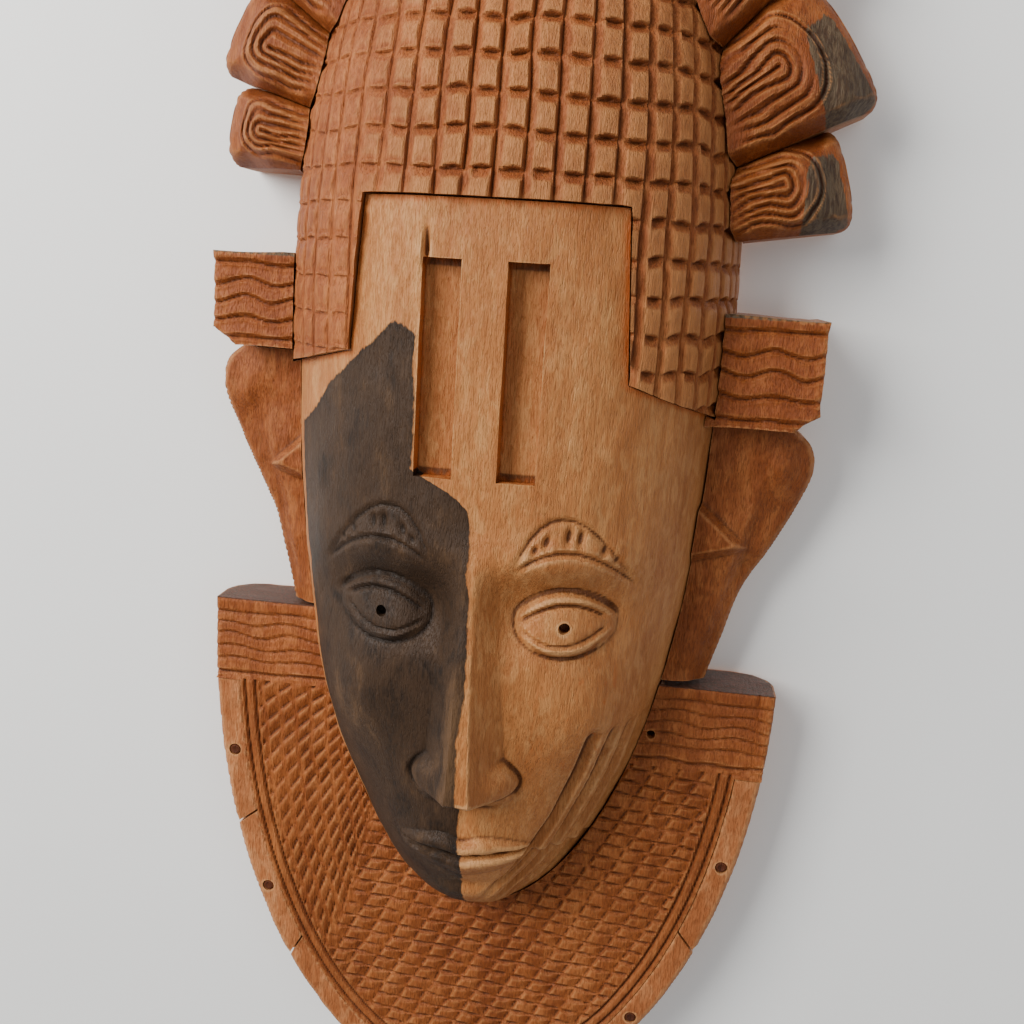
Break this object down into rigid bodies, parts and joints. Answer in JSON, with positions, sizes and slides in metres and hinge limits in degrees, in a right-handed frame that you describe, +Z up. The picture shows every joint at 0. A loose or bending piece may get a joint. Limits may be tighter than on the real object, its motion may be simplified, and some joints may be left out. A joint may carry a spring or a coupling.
{
  "type": "wall mask",
  "caption": "Carved wooden wall mask with a gridded coif, a fan of hair lobes, ears, a pegged collar and a hollow back with a hanging ring.",
  "frame": {"origin": "on the flat back plane, level with the pivot of the hanging ring, where a wall hook carries the mask", "axes": "+Z up the mask, -Y out of the face, +Y into the wall, +X to the right of someone who looks at the face"},
  "size_m": [0.2221, 0.0827, 0.507],
  "materials": {
    "face_wood": "bare pale hardwood, one half stained black-brown",
    "stained_wood": "orange-brown stained hardwood, knife cut",
    "peg_wood": "dark round wooden pegs, flush",
    "hanger_steel": "dull zinc-plated steel"
  },
  "bodies": {
    "mask": {"face_shell": "face_wood", "coif": "stained_wood", "hair_lobe_left_1": "stained_wood", "hair_lobe_right_1": "stained_wood", "hair_lobe_left_2": "stained_wood", "hair_lobe_right_2": "stained_wood", "hair_lobe_left_3": "stained_wood", "hair_lobe_right_3": "stained_wood", "hair_lobe_left_4": "stained_wood", "hair_lobe_right_4": "stained_wood", "hair_lobe_left_5": "stained_wood", "hair_lobe_right_5": "stained_wood", "hair_lobe_top": "stained_wood", "ear_block_left": "stained_wood", "ear_left": "stained_wood", "ear_block_right": "stained_wood", "ear_right": "stained_wood", "collar_board": "stained_wood", "rim_left_1": "stained_wood", "rim_left_2": "stained_wood", "rim_left_3": "stained_wood", "rim_bottom": "stained_wood", "rim_right_2": "stained_wood", "rim_right_1": "stained_wood", "peg_left_1": "peg_wood", "peg_left_2": "peg_wood", "peg_left_3": "peg_wood", "peg_bottom": "peg_wood", "peg_right_2": "peg_wood", "peg_right_1": "peg_wood", "hanger_strap": "hanger_steel", "hanger_screw_1": "hanger_steel", "hanger_screw_2": "hanger_steel"},
    "ring": {"hanger_ring": "hanger_steel"}
  },
  "joints": [
    {"name": "ring_swing", "type": "hinge", "parent": "mask", "child": "ring", "pos_m": [0, -0.0025, 0], "axis": [1, 0, 0], "range_deg": [0, 180]}
  ]
}
